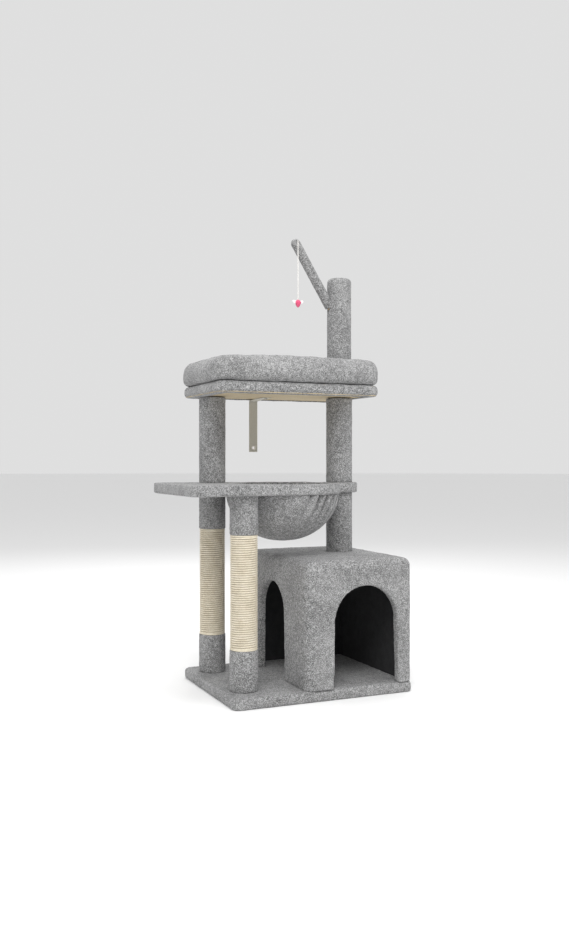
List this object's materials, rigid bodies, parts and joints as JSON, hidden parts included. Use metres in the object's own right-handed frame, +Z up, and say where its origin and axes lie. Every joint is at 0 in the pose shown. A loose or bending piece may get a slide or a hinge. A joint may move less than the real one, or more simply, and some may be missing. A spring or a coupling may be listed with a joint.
{
  "type": "cat tree",
  "caption": "Free-standing cat tree: a plush base with an arched condo, rope-wound posts, a hanging basket on a ring board, a padded top perch and a toy on a string.",
  "frame": {"origin": "middle of the base's underside, on the floor", "axes": "+Z up; +X to the right seen from the front, towards the condo; -Y to the front, where the wide doorway faces"},
  "size_m": [0.595, 0.423, 1.209],
  "materials": {
    "board_plush": "short mottled plush",
    "condo_plush": "short mottled plush",
    "post_plush": "short mottled plush",
    "basket_plush": "short mottled plush, gathered",
    "cushion_plush": "short mottled plush over filling",
    "sisal_rope": "twisted natural rope",
    "cardboard": "wound paper tube",
    "turned_wood": "turned, raw",
    "particle_board": "raw board",
    "zinc_steel": "zinc plated",
    "eyelet_metal": "plated",
    "dark_felt": "thin felt",
    "strap_webbing": "woven flat strap",
    "string_white": "twisted thin string",
    "toy_felt": "felt",
    "toy_wing_felt": "felt"
  },
  "bodies": {
    "frame": {"back_left_post_lower_cuff": "post_plush", "back_left_post_plugs": "turned_wood", "back_left_post_sisal_rope": "sisal_rope", "back_left_post_tube": "cardboard", "back_left_post_upper_sleeve": "post_plush", "back_left_upper_post_plugs": "turned_wood", "back_left_upper_post_sleeve": "post_plush", "back_left_upper_post_tube": "cardboard", "back_right_lower_post_plugs": "turned_wood", "back_right_lower_post_sleeve": "post_plush", "back_right_lower_post_tube": "cardboard", "back_right_upper_post_plugs": "turned_wood", "back_right_upper_post_sleeve": "post_plush", "back_right_upper_post_tube": "cardboard", "base_board": "particle_board", "base_plush_cover": "board_plush", "base_screws": "zinc_steel", "base_underside_felt": "dark_felt", "bolt_washers": "zinc_steel", "condo_back_panel": "particle_board", "condo_front_panel": "particle_board", "condo_left_panel": "particle_board", "condo_lining": "dark_felt", "condo_panel_screws": "zinc_steel", "condo_plush_skin": "condo_plush", "condo_right_panel": "particle_board", "condo_top_panel": "particle_board", "front_left_post_lower_cuff": "post_plush", "front_left_post_plugs": "turned_wood", "front_left_post_sisal_rope": "sisal_rope", "front_left_post_tube": "cardboard", "front_left_post_upper_sleeve": "post_plush", "hammock_basket": "basket_plush", "perch_board": "particle_board", "perch_cushion": "cushion_plush", "perch_plush_wrap": "board_plush", "platform_board": "particle_board", "platform_plush_cover": "board_plush", "post_bolts": "zinc_steel", "post_studs": "zinc_steel", "string_anchor": "string_white", "top_post_plugs": "turned_wood", "top_post_sleeve": "post_plush", "top_post_tube": "cardboard", "toy_arm_dowel": "turned_wood", "toy_arm_sleeve": "post_plush", "wall_strap_fixed": "strap_webbing", "wall_strap_screw": "zinc_steel"},
    "knot": {"string_knot": "string_white"},
    "toy": {"toy_string": "string_white", "toy_knot": "string_white", "toy_body": "toy_felt", "toy_wings": "toy_wing_felt"},
    "strap": {"wall_strap_hanging": "strap_webbing", "wall_strap_eyelet": "eyelet_metal"}
  },
  "joints": [
    {"name": "toy_swing_fore_aft", "type": "hinge", "parent": "frame", "child": "knot", "pos_m": [0.015, 0.0105, 1.199], "axis": [1, 0, 0], "range_deg": [-60, 0]},
    {"name": "toy_swing_sideways", "type": "hinge", "parent": "knot", "child": "toy", "pos_m": [0.015, 0.0105, 1.199], "axis": [0, 1, 0], "range_deg": [-18, 60]},
    {"name": "strap_swing", "type": "hinge", "parent": "frame", "child": "strap", "pos_m": [-0.042, 0.1952, 0.7745], "axis": [1, 0, 0], "range_deg": [-50, 85]}
  ]
}
